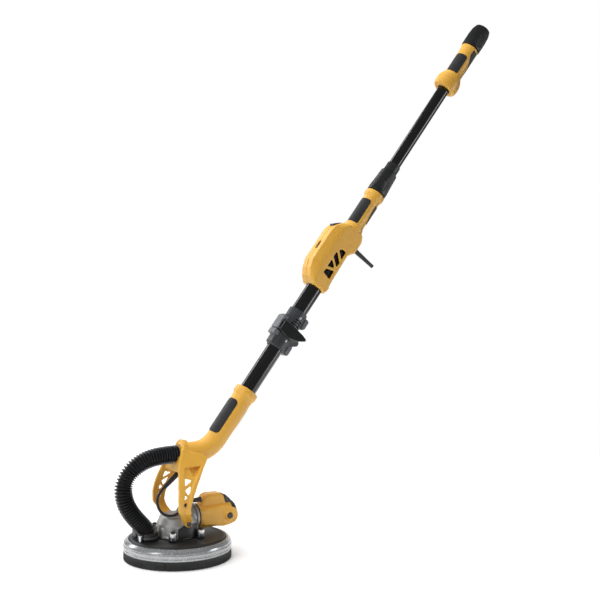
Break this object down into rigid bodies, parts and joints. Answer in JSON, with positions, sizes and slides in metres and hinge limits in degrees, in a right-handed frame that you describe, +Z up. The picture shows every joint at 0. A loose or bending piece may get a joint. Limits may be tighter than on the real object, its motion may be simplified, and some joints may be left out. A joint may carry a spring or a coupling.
{
  "type": "pole drywall sander",
  "caption": "Long-reach drywall sander: round sanding head in a tilting yoke, motor, dust hose, folding and telescoping boom with grips and a control housing.",
  "frame": {"origin": "centre of the sanding face, on the surface that it sands", "axes": "+X the way the boom leans, +Y the yoke's tilt axis, +Z up from the sanding face through the spindle"},
  "size_m": [1.0388, 0.246, 1.2662],
  "materials": {
    "yellow_abs": "satin",
    "black_rubber": "matte",
    "black_tube": "anodised",
    "black_plastic": "matte",
    "grey_plastic": "matte",
    "silver_plastic": "satin",
    "cast_aluminium": "cast",
    "zinc_steel": "zinc plated",
    "bristle_nylon": "brushed",
    "foam_pad": "foam",
    "abrasive": "grit",
    "hose_rubber": "bellows",
    "lead_pvc": "smooth",
    "board": "laminate",
    "cap_black": "gloss"
  },
  "bodies": {
    "boom": {"yoke_saddle": "yellow_abs", "neck_grip_shell": "yellow_abs", "hose_mouth_ring": "yellow_abs", "yoke_arm_near": "yellow_abs", "yoke_arm_far": "yellow_abs", "pivot_screws": "zinc_steel", "front_grip_pads": "black_rubber", "front_grip_collar": "yellow_abs", "lower_tube": "black_tube", "fold_clamp_lower": "grey_plastic", "fold_hinge_pin": "zinc_steel", "lead_sleeve_neck": "black_rubber", "dust_hose": "hose_rubber", "motor_lead": "lead_pvc"},
    "upper_boom": {"fold_clamp_upper": "grey_plastic", "upper_tube": "black_tube", "latch_pin": "zinc_steel", "control_housing_near": "yellow_abs", "control_housing_far": "yellow_abs", "control_board": "board", "cord_guard": "black_rubber", "switch_frame": "black_plastic", "speed_wheel_axle": "zinc_steel", "middle_grip": "yellow_abs", "middle_grip_pads": "black_rubber", "boom_collar": "yellow_abs", "lock_collet": "black_plastic"},
    "latch": {"latch_lever": "black_plastic"},
    "rocker": {"power_rocker": "black_plastic"},
    "dial": {"speed_wheel": "black_plastic"},
    "lock": {"lock_sleeve": "black_plastic"},
    "telescope": {"telescope_stem": "black_tube", "guide_bush": "black_plastic", "rear_handle": "yellow_abs", "rear_handle_pads": "black_rubber"},
    "outlet": {"hose_outlet": "black_plastic"},
    "head": {"cover_plate": "black_plastic", "gear_case": "cast_aluminium", "dust_port": "black_plastic", "spring_cups": "zinc_steel", "motor_flange": "cast_aluminium", "motor_gasket": "black_rubber", "motor_housing": "yellow_abs", "brush_caps": "cap_black", "motor_cap": "grey_plastic", "stator": "zinc_steel", "bearings": "zinc_steel", "lead_sleeve_motor": "black_rubber"},
    "pad": {"crown_gear": "zinc_steel", "spindle": "zinc_steel", "backing_pad": "foam_pad", "abrasive_disc": "abrasive"},
    "armature": {"armature": "zinc_steel", "pinion": "zinc_steel"},
    "brush_ring": {"brush_ring": "silver_plastic", "bristle_skirt": "bristle_nylon", "guide_pins": "zinc_steel", "ring_springs": "zinc_steel"}
  },
  "joints": [
    {"name": "head_tilt", "type": "hinge", "parent": "boom", "child": "head", "pos_m": [0.003, 0, 0.086], "axis": [0, 1, 0], "range_deg": [-40, 40], "deforming": ["dust_hose", "motor_lead"]},
    {"name": "boom_fold", "type": "hinge", "parent": "boom", "child": "upper_boom", "pos_m": [0.30579, 0, 0.47219], "axis": [0, 1, 0], "range_deg": [0, 150]},
    {"name": "latch_open", "type": "hinge", "parent": "upper_boom", "child": "latch", "pos_m": [0.26574, -0.017, 0.52163], "axis": [-0.6157, 0, -0.788], "range_deg": [0, 95]},
    {"name": "stem_slide", "type": "slide", "parent": "upper_boom", "child": "telescope", "axis": [0.6157, 0, 0.788], "range_m": [-0.22, 0.06]},
    {"name": "lock_turn", "type": "hinge", "parent": "upper_boom", "child": "lock", "pos_m": [0.56238, 0, 0.8542], "axis": [0.6157, 0, 0.788], "range_deg": [0, 90]},
    {"name": "outlet_swivel", "type": "hinge", "parent": "telescope", "child": "outlet", "pos_m": [0.85543, 0, 1.2293], "axis": [0.6157, 0, 0.788], "continuous": true},
    {"name": "power_rock", "type": "hinge", "parent": "upper_boom", "child": "rocker", "pos_m": [0.42744, 0, 0.75214], "axis": [0, 1, 0], "range_deg": [0, 14]},
    {"name": "speed_turn", "type": "hinge", "parent": "upper_boom", "child": "dial", "pos_m": [0.38667, 0, 0.69834], "axis": [0, 1, 0], "range_deg": [0, 270]},
    {"name": "pad_spin", "type": "hinge", "parent": "head", "child": "pad", "pos_m": [0, 0, 0.01], "axis": [0, 0, 1], "continuous": true},
    {"name": "armature_spin", "type": "hinge", "parent": "head", "child": "armature", "pos_m": [0.08, 0, 0.088], "axis": [1, 0, 0], "continuous": true},
    {"name": "ring_float", "type": "slide", "parent": "head", "child": "brush_ring", "axis": [0, 0, 1], "range_m": [0, 0.006], "stiffness_N_per_m": 1500, "springref_m": -0.006, "deforming": ["ring_springs"]}
  ],
  "couplings": [
    {"joint": "armature_spin", "follows": "pad_spin", "ratio": 2.8667}
  ]
}
